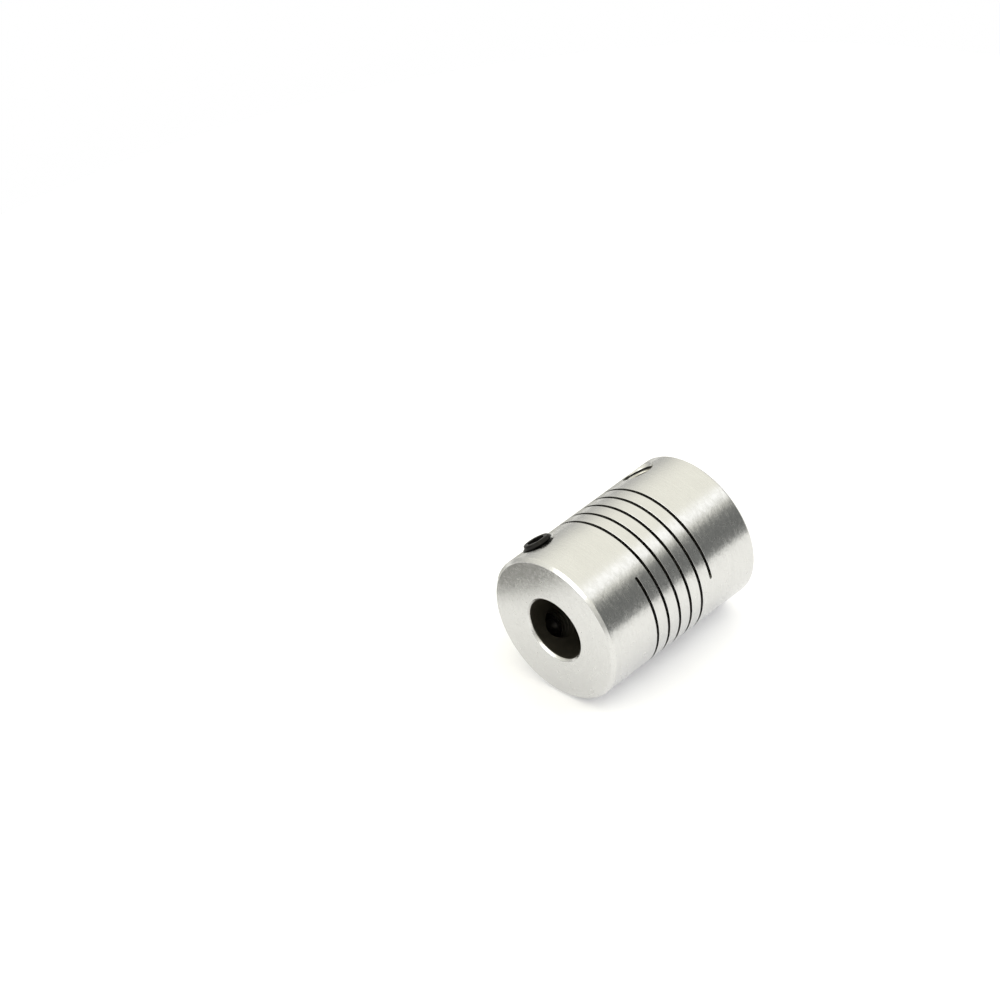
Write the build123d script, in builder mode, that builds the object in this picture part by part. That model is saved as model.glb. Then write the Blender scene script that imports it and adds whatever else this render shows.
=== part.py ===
"""Helical beam coupling, 19 mm x 25 mm, joining an 8 mm lead screw to a 5 mm motor shaft.

Frame: the shaft axis is X, from the 8 mm end at -X to the 5 mm end at +X, with +Z up.
The origin is the middle of the body. Angles about the axis are measured from +Y towards +Z.
"""

from build123d import *
from math import cos, radians, sin, tan
import os

# Driving dimensions, in millimetres and degrees
body_diameter = 19.0
body_length = 25.0
rim_chamfer = 0.4

large_bore = 8.0  # lead screw, at -X
small_bore = 5.0  # motor shaft, at +X
large_bore_chamfer = 0.3
small_bore_chamfer = 0.2

relief_diameter = 8.4  # in the slotted zone, so that the beam flexes clear of the shaft
relief_start_x = -5.6
relief_end_x = 5.2
drill_point_angle = 59.0  # half the cone angle where the relief ends, and in the screws' cups

slot_width = 0.4
slot_pitch = 1.93
slot_start_x = -5.17
slot_start_angle = 138.7
slot_end_x = 4.66

beam_count = 6  # lengths of the slotted zone, which bend one after another
slot_margin = 0.28  # from the middle of the slot's last point to each hub
blade_overlap = 0.1  # how far each length's share of the slot runs into its neighbours
wedge_overlap = 20.0  # degrees that the uncut metal covers beyond the slot's own width

screw_inset = 3.85  # from each end face to the two screws of that hub
screw_angles = {"a": 58.0, "b": -42.0}
screw_length = 4.0
screw_radius = 1.9  # M4, drawn as a plain cylinder just under its major diameter
screw_clearance = 0.05
screw_chamfer = 0.35
cup_rim_radius = 1.0
cup_inner_radius = 0.85
hex_across_flats = 2.0
hex_depth = 1.8
countersink_rise = 0.15
large_hub_heads = 10.0  # from the axis: 0.5 mm proud of the body
small_hub_heads = 8.7  # from the axis: 0.8 mm below the surface

# Worked out from those
body_radius = body_diameter / 2
large_radius = large_bore / 2
small_radius = small_bore / 2
end_x = body_length / 2
relief_radius = relief_diameter / 2
relief_cone = (relief_radius - small_radius) / tan(radians(drill_point_angle))
slot_end_angle = slot_start_angle + 360 * (slot_end_x - slot_start_x) / slot_pitch
slot_sector = 360 * slot_width / slot_pitch  # the angle that the slot takes up in a cross-section
uncut_angle = slot_sector + wedge_overlap
zone_start = slot_start_x - slot_margin
zone_end = slot_end_x + slot_margin
beam_length = (zone_end - zone_start) / beam_count
hole_radius = screw_radius + screw_clearance
cup_depth = cup_inner_radius / tan(radians(drill_point_angle))
overcut = 1.0  # how far a cutting shape runs past the metal
screw_rows = {
    "8mm": (-end_x + screw_inset, large_hub_heads),
    "5mm": (end_x - screw_inset, small_hub_heads),
}


def outward(angle):
    """The unit direction away from the shaft axis."""
    return Vector(0, cos(radians(angle)), sin(radians(angle)))


def radial_plane(x, angle, radius):
    """A plane across a radial hole or screw, with its normal pointing outward."""
    return Plane(
        origin=Vector(x, 0, 0) + outward(angle) * radius,
        x_dir=(1, 0, 0),
        z_dir=outward(angle),
    )


def section_plane(x, angle, radius):
    """A plane along a radial screw, with its y direction pointing outward."""
    return Plane(
        origin=Vector(x, 0, 0) + outward(angle) * radius,
        x_dir=(1, 0, 0),
        z_dir=Vector(1, 0, 0).cross(outward(angle)),
    )


def sector_plane(x, angle):
    """A cross-section plane, with its x direction at an angle about the shaft axis."""
    return Plane(origin=(x, 0, 0), x_dir=outward(angle), z_dir=(1, 0, 0))


def slot_angle(x):
    """The angle at which the middle of the slot crosses a place along the axis."""
    return slot_start_angle + 360 * (x - slot_start_x) / slot_pitch


def slot_blade(low_x, high_x):
    """What the slot removes between two places: a sector that turns as it is extruded."""
    with BuildSketch(sector_plane(low_x, slot_angle(low_x))) as sector:
        with BuildLine():
            rim = CenterArc((0, 0), body_radius + overcut, -slot_sector / 2, slot_sector)
            Line((0, 0), rim @ 0)
            Line((0, 0), rim @ 1)
        make_face()
    return Solid.extrude_linear_with_rotation(
        sector.sketch.face(),
        center=(low_x, 0, 0),
        normal=(high_x - low_x, 0, 0),
        angle=360 * (high_x - low_x) / slot_pitch,
    )


def uncut_wedge(x, first_angle, last_angle):
    """The metal beyond one end of the slot, which the cutter never reached."""
    size = last_angle - first_angle
    with BuildPart() as wedge:
        with BuildSketch(sector_plane(x - slot_pitch / 3, first_angle)):
            with BuildLine():
                rim = CenterArc((0, 0), body_radius + 2 * overcut, 0, size)
                Line((0, 0), rim @ 0)
                Line((0, 0), rim @ 1)
            make_face()
        extrude(amount=2 * slot_pitch / 3)
    return wedge.part


os.makedirs("parts", exist_ok=True)

# The turned bar: outside, rims and both bores from one half section
with BuildPart() as turned_bar:
    with BuildSketch(Plane.XY):
        with BuildLine():
            Polyline(
                (-end_x, large_radius + large_bore_chamfer),
                (-end_x, body_radius - rim_chamfer),
                (-end_x + rim_chamfer, body_radius),
                (end_x - rim_chamfer, body_radius),
                (end_x, body_radius - rim_chamfer),
                (end_x, small_radius + small_bore_chamfer),
                (end_x - small_bore_chamfer, small_radius),
                (relief_end_x + relief_cone, small_radius),
                (relief_end_x, relief_radius),
                (relief_start_x, relief_radius),
                (relief_start_x, large_radius),
                (-end_x + large_bore_chamfer, large_radius),
                close=True,
            )
        make_face()
    revolve(axis=Axis.X)

# The clamping hubs, each with two threaded holes 100 degrees apart
with BuildPart() as hub_8mm:
    add(turned_bar.part)
    split(bisect_by=Plane.YZ.offset(zone_start), keep=Keep.BOTTOM)
    for angle in screw_angles.values():
        with Locations(radial_plane(screw_rows["8mm"][0], angle, body_radius).location):
            CounterSinkHole(hole_radius, hole_radius + countersink_rise, body_radius, 90)
hub_8mm.part.label = "hub_8mm"
export_step(hub_8mm.part, "parts/hub_8mm.step")

with BuildPart() as hub_5mm:
    add(turned_bar.part)
    split(bisect_by=Plane.YZ.offset(zone_end), keep=Keep.TOP)
    for angle in screw_angles.values():
        with Locations(radial_plane(screw_rows["5mm"][0], angle, body_radius).location):
            CounterSinkHole(hole_radius, hole_radius + countersink_rise, body_radius, 90)
hub_5mm.part.label = "hub_5mm"
export_step(hub_5mm.part, "parts/hub_5mm.step")

# The helical beam between the hubs, in the lengths that bend. The slot goes right through the
# wall, and has a round end at each place where the cutter stopped.
slot_ends = (
    (slot_start_x, slot_start_angle, slot_start_angle - uncut_angle, slot_start_angle),
    (slot_end_x, slot_end_angle, slot_end_angle, slot_end_angle + uncut_angle),
)
slot_reach = slot_width / 2 + 0.05
for number in range(beam_count):
    name = f"beam_turn_{number + 1}"
    low_x = zone_start + number * beam_length
    high_x = low_x + beam_length
    with BuildPart() as cutter:
        add(
            slot_blade(
                max(low_x - blade_overlap, slot_start_x - slot_reach),
                min(high_x + blade_overlap, slot_end_x + slot_reach),
            )
        )
        for x, angle, wedge_start, wedge_end in slot_ends:
            if low_x < x < high_x:
                add(uncut_wedge(x, wedge_start, wedge_end), mode=Mode.SUBTRACT)
                with BuildSketch(radial_plane(x, angle, 0)):
                    Circle(slot_width / 2)
                extrude(amount=body_radius + overcut)
    with BuildPart() as beam_turn:
        add(turned_bar.part)
        split(bisect_by=Plane.YZ.offset(low_x), keep=Keep.TOP)
        split(bisect_by=Plane.YZ.offset(high_x), keep=Keep.BOTTOM)
        add(cutter.part, mode=Mode.SUBTRACT)
    beam_turn.part.label = name
    export_step(beam_turn.part, f"parts/{name}.step")

# The grub screws, with a cup point towards the shaft and a hexagon socket outside
for hub, (x, head_radius) in screw_rows.items():
    for letter, angle in screw_angles.items():
        name = f"set_screw_{hub}_{letter}"
        with BuildPart() as set_screw:
            with BuildSketch(section_plane(x, angle, head_radius - screw_length)):
                with BuildLine():
                    Polyline(
                        (0, cup_depth),
                        (cup_inner_radius, 0),
                        (cup_rim_radius, 0),
                        (screw_radius, screw_radius - cup_rim_radius),
                        (screw_radius, screw_length - screw_chamfer),
                        (screw_radius - screw_chamfer, screw_length),
                        (0, screw_length),
                        close=True,
                    )
                make_face()
            revolve(axis=Axis((x, 0, 0), outward(angle)))
            with BuildSketch(radial_plane(x, angle, head_radius)):
                RegularPolygon(hex_across_flats / 2, 6, major_radius=False)
            extrude(amount=-hex_depth, mode=Mode.SUBTRACT)
        set_screw.part.label = name
        export_step(set_screw.part, f"parts/{name}.step")
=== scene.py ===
from math import ceil, cos, hypot, pi, radians, sin, tan

import bmesh
import bpy
from mathutils import Matrix, Vector


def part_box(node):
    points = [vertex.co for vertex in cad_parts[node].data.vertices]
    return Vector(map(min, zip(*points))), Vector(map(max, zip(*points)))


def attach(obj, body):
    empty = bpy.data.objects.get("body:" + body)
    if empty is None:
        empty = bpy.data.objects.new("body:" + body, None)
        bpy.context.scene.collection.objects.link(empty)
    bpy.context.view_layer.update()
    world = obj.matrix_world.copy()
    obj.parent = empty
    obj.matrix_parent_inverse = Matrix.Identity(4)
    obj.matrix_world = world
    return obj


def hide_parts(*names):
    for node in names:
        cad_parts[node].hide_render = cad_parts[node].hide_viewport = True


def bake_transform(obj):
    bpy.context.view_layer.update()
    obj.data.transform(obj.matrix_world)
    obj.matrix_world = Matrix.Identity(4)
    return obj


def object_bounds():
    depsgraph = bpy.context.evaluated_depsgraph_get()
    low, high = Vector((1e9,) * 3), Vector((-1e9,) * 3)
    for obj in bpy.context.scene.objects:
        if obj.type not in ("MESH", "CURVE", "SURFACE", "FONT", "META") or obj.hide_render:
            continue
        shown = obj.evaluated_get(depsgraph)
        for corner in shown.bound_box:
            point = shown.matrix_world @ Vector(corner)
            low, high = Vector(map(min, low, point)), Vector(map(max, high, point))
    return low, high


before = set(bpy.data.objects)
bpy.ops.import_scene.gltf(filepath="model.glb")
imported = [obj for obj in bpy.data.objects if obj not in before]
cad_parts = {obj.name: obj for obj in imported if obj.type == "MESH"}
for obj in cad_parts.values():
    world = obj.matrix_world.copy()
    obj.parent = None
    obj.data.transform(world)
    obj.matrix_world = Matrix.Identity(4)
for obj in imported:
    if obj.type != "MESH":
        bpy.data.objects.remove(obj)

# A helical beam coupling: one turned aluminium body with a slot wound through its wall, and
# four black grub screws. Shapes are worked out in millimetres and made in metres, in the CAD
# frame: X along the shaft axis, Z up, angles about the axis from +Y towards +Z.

cad_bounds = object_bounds()
scene = bpy.context.scene
MM = 0.001

# ---------------------------------------------------------------- driving dimensions, mm

SLICES = ["hub_8mm", *(f"beam_turn_{number}" for number in range(1, 7)), "hub_5mm"]
slice_planes = [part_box(name)[0].x / MM for name in SLICES] + [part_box("hub_5mm")[1].x / MM]

body_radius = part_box("hub_8mm")[1].z / MM
end_x = slice_planes[-1]
rim_chamfer = 0.4
large_radius = 4.0
small_radius = 2.5
large_bore_chamfer = 0.3
small_bore_chamfer = 0.2
relief_radius = 4.2
relief_start_x = -5.6
relief_end_x = 5.2
drill_point_angle = 59
body_columns = 180

slot_width = 0.4
slot_pitch = 1.93
slot_start_x = -5.17
slot_start_angle = 138.7
slot_end_x = 4.66
slot_burr = 0.02  # the small broken edge where the slot meets the outside
overcut = 0.3  # how far a cutting shape runs past the outside
corner_reach = 0.06  # how far each turned corner is rounded
sliver = 0.0005  # points closer together than this become one

thread_pitch = 0.7
thread_flat = 0.2  # the share of a thread's slope that is flat at its crest and at its root
screw_angles = {"a": 58.0, "b": -42.0}
screw_heads = {"8mm": 10.0, "5mm": 8.7}  # from the shaft axis to the socket face
screw_length = 4.0
screw_radius = 1.9
screw_groove = 0.27
screw_chamfer = 0.4
cup_rim_radius = 1.0
socket_flats = 2.0
socket_depth = 1.8
socket_lip = 0.06
screw_columns = 96
screw_thread_rings = 57
hole_radius = 1.95
hole_groove = 0.12
hole_countersink = 0.35
hole_columns = 48
hole_rings_per_pitch = 6
hole_starts = {"8mm": 2.5, "5mm": 1.0}  # from the axis, inside the bore


# ---------------------------------------------------------------- mesh tools


def outward(angle):
    """The unit direction away from the shaft axis."""
    return Vector((0, cos(radians(angle)), sin(radians(angle))))


def around(x, radius, angle):
    """A point on a circle about the shaft axis."""
    return Vector((x, 0, 0)) + outward(angle) * radius


def radial_axes(angle):
    """Two unit directions across a radial hole, and the one along it."""
    along = outward(angle)
    return Vector((1, 0, 0)), along.cross(Vector((1, 0, 0))), along


def skin(rings, looped=False, triangles=False):
    """A closed mesh through rings of points, each joined to the next."""
    count = len(rings[0])
    faces = []
    for ring in range(len(rings) if looped else len(rings) - 1):
        near = ring * count
        far = (ring + 1) % len(rings) * count
        for column in range(count):
            following = (column + 1) % count
            faces.append((near + column, near + following, far + following, far + column))
    if not looped:
        faces.append(tuple(range(count)))
        faces.append(tuple(range((len(rings) - 1) * count, len(rings) * count)))
    mesh = bpy.data.meshes.new("skin")
    mesh.from_pydata([point for ring in rings for point in ring], [], faces)
    bm = bmesh.new()
    bm.from_mesh(mesh)
    if triangles:
        bmesh.ops.triangulate(bm, faces=bm.faces)
    bmesh.ops.recalc_face_normals(bm, faces=bm.faces)
    bm.to_mesh(mesh)
    bm.free()
    return mesh


def cut_out(mesh, cutters):
    """The mesh with every cutting shape taken out of it."""
    target = bpy.data.objects.new("target", mesh)
    scene.collection.objects.link(target)
    tools = []
    for cutter in cutters:
        tool = bpy.data.objects.new("tool", cutter)
        scene.collection.objects.link(tool)
        tools.append(tool)
        modifier = target.modifiers.new("cut", "BOOLEAN")
        modifier.operation = "DIFFERENCE"
        modifier.solver = "EXACT"
        modifier.object = tool
    graph = bpy.context.evaluated_depsgraph_get()
    result = bpy.data.meshes.new_from_object(target.evaluated_get(graph))
    for temporary in [target, *tools]:
        bpy.data.objects.remove(temporary)
    return result


def remove_slivers(bm):
    """Merges the points that the cuts leave almost touching, and drops folded-over faces."""
    bmesh.ops.remove_doubles(bm, verts=bm.verts, dist=sliver)
    bmesh.ops.dissolve_degenerate(bm, dist=sliver, edges=bm.edges)
    bmesh.ops.triangulate(bm, faces=bm.faces)
    by_corners = {}
    for face in bm.faces:
        by_corners.setdefault(frozenset(face.verts), []).append(face)
    folded = [face for faces in by_corners.values() if len(faces) > 1 for face in faces]
    bmesh.ops.delete(bm, geom=folded, context="FACES")


def between(mesh, low_x, high_x):
    """The part of a closed mesh between two cross-section planes, closed again."""
    bm = bmesh.new()
    bm.from_mesh(mesh)
    for x, direction in ((low_x, -1), (high_x, 1)):
        cut = bmesh.ops.bisect_plane(
            bm,
            geom=[*bm.verts, *bm.edges, *bm.faces],
            dist=1e-6,
            plane_co=(x, 0, 0),
            plane_no=(direction, 0, 0),
            clear_outer=True,
        )
        edges = [item for item in cut["geom_cut"] if isinstance(item, bmesh.types.BMEdge)]
        open_edges = [edge for edge in edges if edge.is_boundary]
        if open_edges:
            bmesh.ops.triangle_fill(bm, edges=open_edges, normal=(direction, 0, 0))
    remove_slivers(bm)
    bmesh.ops.recalc_face_normals(bm, faces=bm.faces)
    part = bpy.data.meshes.new("part")
    bm.to_mesh(part)
    bm.free()
    return part


def make_piece(name, mesh, material, node):
    """A finished piece of the object, in metres, standing for one CAD node."""
    mesh.transform(Matrix.Scale(MM, 4))
    mesh.shade_smooth()
    mesh.set_sharp_from_angle(angle=radians(30))
    mesh.name = name
    mesh.materials.clear()
    mesh.materials.append(material)
    piece = bpy.data.objects.new(name, mesh)
    scene.collection.objects.link(piece)
    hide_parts(node)
    return piece


# ---------------------------------------------------------------- the turned body


def soften(corners, reach, steps=3):
    """A closed outline with rounded corners: a list of (point, outward normal)."""
    outline = []
    for index, corner in enumerate(corners):
        arrive = (corner - corners[index - 1]).normalized()
        leave = (corners[(index + 1) % len(corners)] - corner).normalized()
        start = corner - arrive * reach
        end = corner + leave * reach
        for step in range(steps + 1):
            t = step / steps
            point = start * (1 - t) ** 2 + corner * 2 * t * (1 - t) + end * t**2
            tangent = (arrive * (1 - t) + leave * t).normalized()
            outline.append((point, Vector((-tangent.y, tangent.x))))
    return outline


def half_section():
    """The metal above the axis, as (x, radius) corners."""
    relief_cone = (relief_radius - small_radius) / tan(radians(drill_point_angle))
    corners = (
        (-end_x, large_radius + large_bore_chamfer),
        (-end_x, body_radius - rim_chamfer),
        (-end_x + rim_chamfer, body_radius),
        (end_x - rim_chamfer, body_radius),
        (end_x, body_radius - rim_chamfer),
        (end_x, small_radius + small_bore_chamfer),
        (end_x - small_bore_chamfer, small_radius),
        (relief_end_x + relief_cone, small_radius),
        (relief_end_x, relief_radius),
        (relief_start_x, relief_radius),
        (relief_start_x, large_radius),
        (-end_x + large_bore_chamfer, large_radius),
    )
    return soften([Vector(corner) for corner in corners], corner_reach)


def turned_bar(outline):
    """The body before the slot and the holes are cut."""
    angles = [360 * column / body_columns for column in range(body_columns)]
    return skin([[around(p.x, p.y, angle) for angle in angles] for p, _ in outline], looped=True)


def slot_blade():
    """What the slot removes: a thin blade wound round the axis, with a round end each way."""
    half = slot_width / 2
    end_angle = slot_start_angle + 360 * (slot_end_x - slot_start_x) / slot_pitch
    step = 360 / body_columns
    first = ceil(slot_start_angle / step) + 0.5
    ribs = [(slot_start_angle, half), (end_angle, half)]
    ribs += [((first + i) * step, half) for i in range(int((end_angle / step) - first))]
    for tilt in (25, 45, 65, 80):
        turn = half * sin(radians(tilt)) / radians(body_radius)
        width = half * cos(radians(tilt))
        ribs += [(slot_start_angle - turn, width), (end_angle + turn, width)]
    flare = slot_burr + overcut
    inside = large_radius - 0.5
    rings = []
    for angle, width in sorted(ribs):
        x = slot_start_x + slot_pitch * (angle - slot_start_angle) / 360
        sides = (
            (-width, inside),
            (-width, body_radius - slot_burr),
            (-width - flare, body_radius + overcut),
            (width + flare, body_radius + overcut),
            (width, body_radius - slot_burr),
            (width, inside),
        )
        rings.append([around(x + offset, radius, angle) for offset, radius in sides])
    return skin(rings, triangles=True)


def thread_depth(height, turn):
    """0 at a right-handed thread's crest to 1 at its root, with flats on both."""
    phase = (height / thread_pitch - turn) % 1
    return min(1, max(0, (abs(2 * phase - 1) - thread_flat) / (1 - 2 * thread_flat)))


def threaded_hole(x, angle, start):
    """What a tapped hole removes, with a small countersink at the outside."""
    across, sideways, along = radial_axes(angle)
    mouth = body_radius + overcut
    steps = ceil((mouth - start) / (thread_pitch / hole_rings_per_pitch))
    rings = []
    for step in range(steps + 1):
        height = start + (mouth - start) * step / steps
        ring = []
        for column in range(hole_columns):
            turn = column / hole_columns
            threaded = hole_radius + hole_groove * (1 - thread_depth(height, turn))
            sunk = hole_radius + hole_countersink + min(0, height - body_radius)
            radius = max(threaded, sunk)
            offset = across * cos(2 * pi * turn) + sideways * sin(2 * pi * turn)
            ring.append(Vector((x, 0, 0)) + along * height + offset * radius)
        rings.append(ring)
    return skin(rings, triangles=True)


def nearest_on(outline, x, radius):
    """The distance from a point in the half section to the outline, and the normal there."""
    spot = Vector((x, radius))
    best = (1e9, None)
    for index, (end, end_normal) in enumerate(outline):
        start, start_normal = outline[index - 1]
        run = end - start
        t = min(1, max(0, (spot - start).dot(run) / run.length_squared))
        distance = (start + run * t - spot).length
        if distance < best[0]:
            best = (distance, start_normal.lerp(end_normal, t))
    return best


def round_normals(piece, outline):
    """Shades the turned faces as true cylinders and cones instead of flat facets."""
    mesh = piece.data
    facet = 0.003  # how far a flat facet may lie from the true curve
    normals = [Vector()] * len(mesh.loops)
    for face in mesh.polygons:
        centre = face.center / MM
        if nearest_on(outline, centre.x, hypot(centre.y, centre.z))[0] > facet:
            continue
        for corner in face.loop_indices:
            spot = mesh.vertices[mesh.loops[corner].vertex_index].co / MM
            radius = hypot(spot.y, spot.z)
            _, normal = nearest_on(outline, spot.x, radius)
            away = Vector((0, spot.y, spot.z)) / radius
            normals[corner] = (Vector((normal.x, 0, 0)) + away * normal.y).normalized()
    mesh.normals_split_custom_set(normals)


# ---------------------------------------------------------------- the grub screws


def screw_rings(x, angle, head):
    """Rings of a grub screw from its cup point to the bottom of its hexagon socket."""
    across, sideways, along = radial_axes(angle)
    foot = Vector((x, 0, 0)) + along * (head - screw_length)

    def ring(height, radius_at):
        points = []
        for column in range(screw_columns):
            turn = column / screw_columns
            offset = across * cos(2 * pi * turn) + sideways * sin(2 * pi * turn)
            points.append(foot + along * height + offset * radius_at(turn))
        return points

    def round_ring(height, radius):
        return ring(height, lambda turn: radius)

    def threaded_ring(height):
        point = cup_rim_radius + height
        top = screw_radius - screw_chamfer + 0.05 + (screw_length - height)
        limit = min(point, top)

        def radius_at(turn):
            return min(screw_radius - screw_groove * thread_depth(height, turn), limit)

        return ring(height, radius_at)

    def hexagon_ring(height, extra):
        def radius_at(turn):
            return (socket_flats / 2 + extra) / cos((turn * 6 % 1 - 0.5) * pi / 3)

        return ring(height, radius_at)

    cup = [(0.5, 0.03), (0.06, 0.8), (0.0, 0.86), (0.0, 0.98)]
    rings = [round_ring(height, radius) for height, radius in cup]
    spacing = (screw_length - 0.05) / (screw_thread_rings - 1)
    rings += [threaded_ring(0.03 + spacing * index) for index in range(screw_thread_rings)]
    rings += [round_ring(screw_length, screw_radius - screw_chamfer)]
    rings += [hexagon_ring(screw_length, socket_lip), hexagon_ring(screw_length - socket_lip, 0)]
    socket_floor = screw_length - socket_depth
    rings += [hexagon_ring(socket_floor, 0)]
    rings += [round_ring(socket_floor - 0.02, 0.9), round_ring(socket_floor - 0.3, 0.03)]
    return rings


# ---------------------------------------------------------------- materials


def add_node(tree, kind, inputs=(), **settings):
    """A shader node with its settings made and its inputs set or linked."""
    node = tree.nodes.new("ShaderNode" + kind)
    for name, value in settings.items():
        setattr(node, name, value)
    for name, value in dict(inputs).items():
        if isinstance(value, bpy.types.NodeSocket):
            tree.links.new(value, node.inputs[name])
        else:
            node.inputs[name].default_value = value
    return node


def calculate(tree, operation, *values):
    """The result of one Math node."""
    node = add_node(tree, "Math", dict(enumerate(values)), operation=operation)
    return node.outputs[0]


def remap(tree, value, low, high, to_low, to_high):
    """A value's range turned smoothly into another range."""
    inputs = {
        "Value": value,
        "From Min": low,
        "From Max": high,
        "To Min": to_low,
        "To Max": to_high,
    }
    return add_node(tree, "MapRange", inputs, interpolation_type="SMOOTHSTEP").outputs[0]


def blend_colours(tree, factor, first, second):
    """One colour turning into another as the factor goes from 0 to 1."""
    node = add_node(tree, "Mix", data_type="RGBA")
    for index, value in ((0, factor), (6, first), (7, second)):
        if isinstance(value, bpy.types.NodeSocket):
            tree.links.new(value, node.inputs[index])
        else:
            node.inputs[index].default_value = value
    return node.outputs[2]


def speckle(tree, position, size, detail=2.0, roughness=0.5):
    """Noise with spots about this many millimetres across."""
    scale = 1 / (size * MM)
    inputs = {"Vector": position, "Scale": scale, "Detail": detail, "Roughness": roughness}
    return add_node(tree, "TexNoise", inputs).outputs["Fac"]


def new_material(name):
    """A material with nothing in it but its output and its main shader."""
    material = bpy.data.materials.new(name)
    material.use_nodes = True
    tree = material.node_tree
    tree.nodes.clear()
    shader = add_node(tree, "BsdfPrincipled")
    output = add_node(tree, "OutputMaterial")
    tree.links.new(shader.outputs[0], output.inputs["Surface"])
    return material, tree, shader


def object_position(tree):
    """The position in the object, and its distance along and from the shaft axis."""
    position = add_node(tree, "TexCoord").outputs["Object"]
    x, y, z = add_node(tree, "SeparateXYZ", {0: position}).outputs
    y_square = calculate(tree, "MULTIPLY", y, y)
    z_square = calculate(tree, "MULTIPLY", z, z)
    radius = calculate(tree, "SQRT", calculate(tree, "ADD", y_square, z_square))
    return position, x, radius


def turned_position(tree, position, along, radius, stretch):
    """A position for marks left by turning: drawn out round the axis, on faces as on cylinders."""
    shrunk = (0, body_radius * MM / stretch, body_radius * MM / stretch)
    per_radius = calculate(tree, "DIVIDE", 1, radius)
    away = add_node(tree, "VectorMath", {0: position, 1: shrunk}, operation="MULTIPLY").outputs[0]
    circle = add_node(tree, "VectorMath", {0: away, "Scale": per_radius}, operation="SCALE").outputs[0]
    across = add_node(tree, "CombineXYZ", {"X": calculate(tree, "ADD", along, radius)}).outputs[0]
    return add_node(tree, "VectorMath", {0: circle, 1: across}, operation="ADD").outputs[0]


def bump(tree, height, depth, below=None):
    """A bump this many millimetres deep, on top of another."""
    inputs = {"Height": height, "Strength": 1.0, "Distance": depth * MM}
    if below:
        inputs["Normal"] = below
    return add_node(tree, "Bump", inputs).outputs[0]


def satin_aluminium():
    """Fine-turned aluminium: feed marks round the axis, satin grain, and painted shade darkening the
    slot walls and the bore.
    """
    material, tree, shader = new_material("satin_aluminium")
    position, along, radius = object_position(tree)

    from_middle = calculate(tree, "ABSOLUTE", along)
    from_ends = remap(tree, from_middle, (end_x - 0.6) * MM, (end_x - 0.1) * MM, 1, 0)
    # Painted shade: inside the slot walls and the bore the colour turns darker and browner, standing
    # in for the shade in these recesses; the slot walls are also rougher.
    wall_shade_and_roughness = remap(tree, radius, (body_radius - 1.0) * MM, (body_radius - 0.05) * MM, 1, 0)
    wall_shade_and_roughness = calculate(tree, "MULTIPLY", wall_shade_and_roughness, from_ends)
    bore_painted_shade = remap(tree, radius, 4.5 * MM, 8.5 * MM, 1, 0)
    bore_painted_shade = calculate(tree, "MULTIPLY", bore_painted_shade, from_ends)

    lines = turned_position(tree, position, along, radius, 40)
    feed_marks = speckle(tree, lines, 0.1, detail=2)
    streaks = turned_position(tree, position, along, radius, 1.5)
    grain = speckle(tree, streaks, 0.42, detail=2, roughness=0.5)
    clouds = speckle(tree, position, 2.5, detail=2)

    pale = blend_colours(tree, clouds, (0.58, 0.58, 0.575, 1), (0.62, 0.62, 0.615, 1))
    bright_marks = remap(tree, feed_marks, 0.4, 0.75, 0, 0.3)
    grained = blend_colours(tree, bright_marks, pale, (0.72, 0.72, 0.71, 1))
    # Painted shade: the slot walls and then the bore get their darker colours.
    with_slot_shade = blend_colours(tree, wall_shade_and_roughness, grained, (0.42, 0.41, 0.35, 1))
    colour = blend_colours(tree, bore_painted_shade, with_slot_shade, (0.16, 0.145, 0.115, 1))
    tree.links.new(colour, shader.inputs["Base Color"])

    satin = remap(tree, grain, 0.3, 0.7, 0.20, 0.27)
    scored = calculate(tree, "ADD", satin, remap(tree, feed_marks, 0.3, 0.7, -0.015, 0.02))
    rough = calculate(tree, "ADD", scored, calculate(tree, "MULTIPLY", wall_shade_and_roughness, 0.2))
    tree.links.new(rough, shader.inputs["Roughness"])
    shader.inputs["Metallic"].default_value = 1.0

    calmer_ends = remap(tree, from_ends, 0, 1, 0.4, 1)
    turned = bump(tree, calculate(tree, "MULTIPLY", feed_marks, calmer_ends), 0.0018)
    rippled = bump(tree, calculate(tree, "MULTIPLY", grain, calmer_ends), 0.013, below=turned)
    tree.links.new(rippled, shader.inputs["Normal"])
    return material


def black_oxide():
    """Oil-black steel with the oxide a little thinner here and there."""
    material, tree, shader = new_material("black_oxide_screw")
    position, _, _ = object_position(tree)
    grain = speckle(tree, position, 0.12, detail=3, roughness=0.6)
    patches = speckle(tree, position, 0.8, detail=3)
    worn = remap(tree, patches, 0.5, 0.75, 0, 0.5)
    colour = blend_colours(tree, worn, (0.013, 0.0125, 0.012, 1), (0.055, 0.05, 0.045, 1))
    tree.links.new(colour, shader.inputs["Base Color"])
    tree.links.new(remap(tree, grain, 0.3, 0.7, 0.36, 0.52), shader.inputs["Roughness"])
    shader.inputs["Metallic"].default_value = 0.85
    tree.links.new(bump(tree, grain, 0.006), shader.inputs["Normal"])
    return material


def grey_card(name, shade):
    """Dull grey card with a little mottle."""
    material, tree, shader = new_material(name)
    position = add_node(tree, "TexCoord").outputs["Object"]
    mottle = speckle(tree, position, 3)
    colour = blend_colours(tree, mottle, (shade, shade, shade, 1), (shade * 1.2,) * 3 + (1,))
    tree.links.new(colour, shader.inputs["Base Color"])
    shader.inputs["Roughness"].default_value = 0.9
    return material


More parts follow.
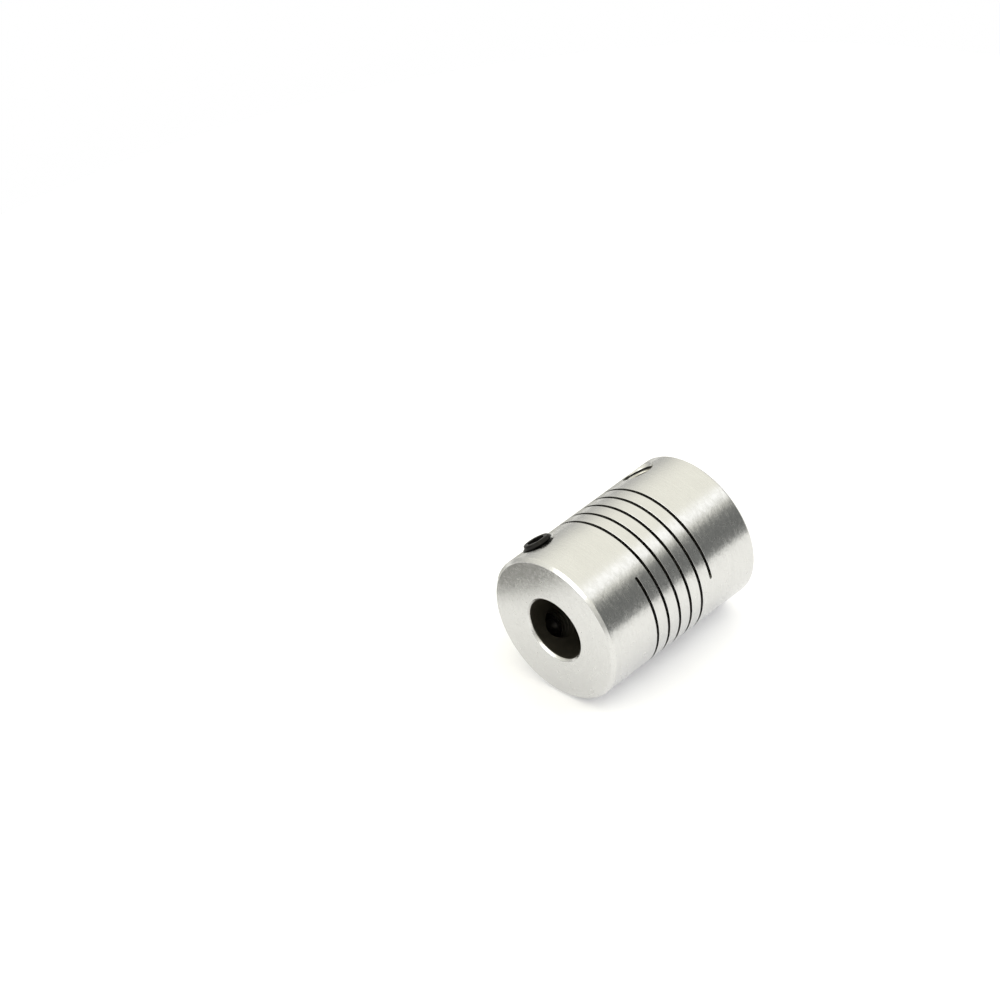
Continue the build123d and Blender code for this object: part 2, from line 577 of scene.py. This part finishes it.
def glowing_paper_floor():
    """Matt white paper that glows a little: painted light that fills in its shadows."""
    material, tree, shader = new_material("glowing_paper_floor")
    position = add_node(tree, "TexCoord").outputs["Object"]
    fibres = speckle(tree, position, 6, detail=4)
    colour = blend_colours(tree, fibres, (0.91, 0.91, 0.93, 1), (0.93, 0.93, 0.95, 1))
    tree.links.new(colour, shader.inputs["Base Color"])
    shader.inputs["Roughness"].default_value = 0.9
    # Painted light: a faint bluish-white glow that lifts the floor's shadows.
    shader.inputs["Emission Color"].default_value = (0.94, 0.95, 1.0, 1)
    shader.inputs["Emission Strength"].default_value = 0.17
    return material


# ---------------------------------------------------------------- building the pieces


def screw_x(node):
    """Where a screw's own axis crosses the shaft axis, mm."""
    low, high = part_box(node)
    return (low.x + high.x) / 2 / MM


def build_body(material):
    """The hubs and the lengths of beam between them, cut from one body."""
    outline = half_section()
    cutters = [slot_blade()]
    for hub, start in hole_starts.items():
        for letter, angle in screw_angles.items():
            x = screw_x(f"set_screw_{hub}_{letter}")
            cutters.append(threaded_hole(x, angle, start))
    body = cut_out(turned_bar(outline), cutters)

    for index, node in enumerate(SLICES):
        name = node.replace("beam_turn", "helical_beam").replace("hub", "clamp_hub")
        low_x, high_x = slice_planes[index], slice_planes[index + 1]
        piece = make_piece(name, between(body, low_x, high_x), material, node)
        round_normals(piece, outline)
        if node.startswith("hub"):
            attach(piece, node)
        else:
            start = (low_x * MM, 0, 0)
            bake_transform(piece)


def build_screws(material):
    """The four grub screws, two in each hub."""
    for hub, head in screw_heads.items():
        for letter, angle in screw_angles.items():
            node = f"set_screw_{hub}_{letter}"
            name = node.replace("set_screw", "grub_screw")
            mesh = skin(screw_rings(screw_x(node), angle, head))
            piece = make_piece(name, mesh, material, node)
            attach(piece, node)


# ---------------------------------------------------------------- floor, light and camera


def build_disc(name, centre, radius, material):
    """A flat round sheet of the studio, facing up."""
    angles = [radians(degrees) for degrees in range(0, 360, 5)]
    rim = [centre + Vector((cos(angle), sin(angle), 0)) * radius for angle in angles]
    mesh = bpy.data.meshes.new(name)
    mesh.from_pydata(rim, [], [tuple(range(len(rim)))])
    mesh.materials.append(material)
    disc = bpy.data.objects.new(name, mesh)
    scene.collection.objects.link(disc)
    return disc


def build_floor():
    """A plain white floor under the body that glows a little as painted light, and grey cards on it
    that only reflections see, painting darker patches into them.
    """
    height = cad_bounds[0].z
    build_disc("floor", Vector((0, 0, height)), 0.14, glowing_paper_floor())
    # Painted reflection: grey cards hidden from the camera, from diffuse light and from shadows, that
    # put darker patches into the metal's reflections.
    cards = {
        "reflection_card_left": (Vector((-0.033, 0.027, height + 0.0004)), 0.014, 0.24),
        "reflection_card_behind": (Vector((0.022, 0.052, height + 0.0002)), 0.036, 0.42),
    }
    for name, (centre, radius, shade) in cards.items():
        card = build_disc(name, centre, radius, grey_card(name, shade))
        card.visible_camera = False
        card.visible_diffuse = False
        card.visible_shadow = False


def compass(azimuth, elevation):
    """A unit direction from the object: azimuth 0 is -Y, 90 is +X."""
    a, e = radians(azimuth), radians(elevation)
    return Vector((sin(a) * cos(e), -cos(a) * cos(e), sin(e)))


def build_studio():
    """A warm white ceiling with a glow in it, dimmer walls, and a dark gap low down in front."""
    world = bpy.data.worlds.new("studio")
    world.use_nodes = True
    tree = world.node_tree
    tree.nodes.clear()
    direction = add_node(tree, "TexCoord").outputs["Generated"]
    height = add_node(tree, "SeparateXYZ", {0: direction}).outputs[2]
    facing = add_node(tree, "VectorMath", {0: direction, 1: compass(40, 0)}, operation="DOT_PRODUCT")

    walls = (0.60, 0.595, 0.57, 1)
    ceiling = (1.32, 1.30, 1.16, 1)
    gap = (0.21, 0.215, 0.205, 1)
    glow = (1.75, 1.75, 1.72, 1)
    room = blend_colours(tree, remap(tree, height, -0.1, 0.75, 0, 1), walls, ceiling)
    low_down = remap(tree, height, sin(radians(30)), sin(radians(42)), 1, 0)
    in_front = remap(tree, facing.outputs["Value"], 0.1, 0.4, 0, 1)
    dimmed = blend_colours(tree, calculate(tree, "MULTIPLY", low_down, in_front), room, gap)
    spot = add_node(tree, "VectorMath", {0: direction, 1: compass(54, 47)}, operation="DOT_PRODUCT")
    near_glow = remap(tree, spot.outputs["Value"], cos(radians(12)), cos(radians(3)), 0, 1)
    studio = blend_colours(tree, near_glow, dimmed, glow)

    seen = add_node(tree, "LightPath").outputs["Is Camera Ray"]
    shown = blend_colours(tree, seen, studio, (1, 1, 1, 1))
    background = add_node(tree, "Background", {"Color": shown, "Strength": 1.0})
    output = add_node(tree, "OutputWorld")
    tree.links.new(background.outputs[0], output.inputs["Surface"])
    scene.world = world


def build_softbox(name, direction, energy):
    """A large square light pointed at the object."""
    distance = 0.9
    light = bpy.data.lights.new(name, "AREA")
    light.shape = "SQUARE"
    light.size = 0.65
    light.energy = energy
    softbox = bpy.data.objects.new(name, light)
    softbox.location = direction * distance
    softbox.rotation_mode = "QUATERNION"
    softbox.rotation_quaternion = direction.to_track_quat("Z", "Y")
    scene.collection.objects.link(softbox)
    return softbox


def build_lights():
    """One softbox beside the 8 mm end for the metal's highlights, another for the floor."""
    build_softbox("softbox_metal", compass(-95, 40), 2.4).visible_diffuse = False
    build_softbox("softbox_floor", compass(40, 47), 2.7).visible_glossy = False


def build_camera():
    """The photograph's viewing angle, with the camera rolled a little to the left."""
    distance = 0.459058
    aside = 0.01477
    above = 0.009016
    camera = bpy.data.cameras.new("camera")
    camera.sensor_width = 36
    camera.lens = 140.4
    camera.clip_start = 0.01
    camera.clip_end = 10
    back = compass(-42.0, 36.2)
    level_right = Vector((0, 0, 1)).cross(back).normalized()
    level_up = back.cross(level_right)
    roll = radians(7.5)
    right = level_right * cos(roll) - level_up * sin(roll)
    up = level_up * cos(roll) + level_right * sin(roll)
    place = bpy.data.objects.new("camera", camera)
    rotation = Matrix((right, up, back)).transposed()
    location = back * distance - right * aside + up * above
    place.matrix_world = Matrix.Translation(location) @ rotation.to_4x4()
    scene.collection.objects.link(place)
    scene.camera = place


build_camera()
build_floor()
build_studio()
build_lights()
build_body(satin_aluminium())
build_screws(black_oxide())
scene.view_settings.view_transform = "Standard"
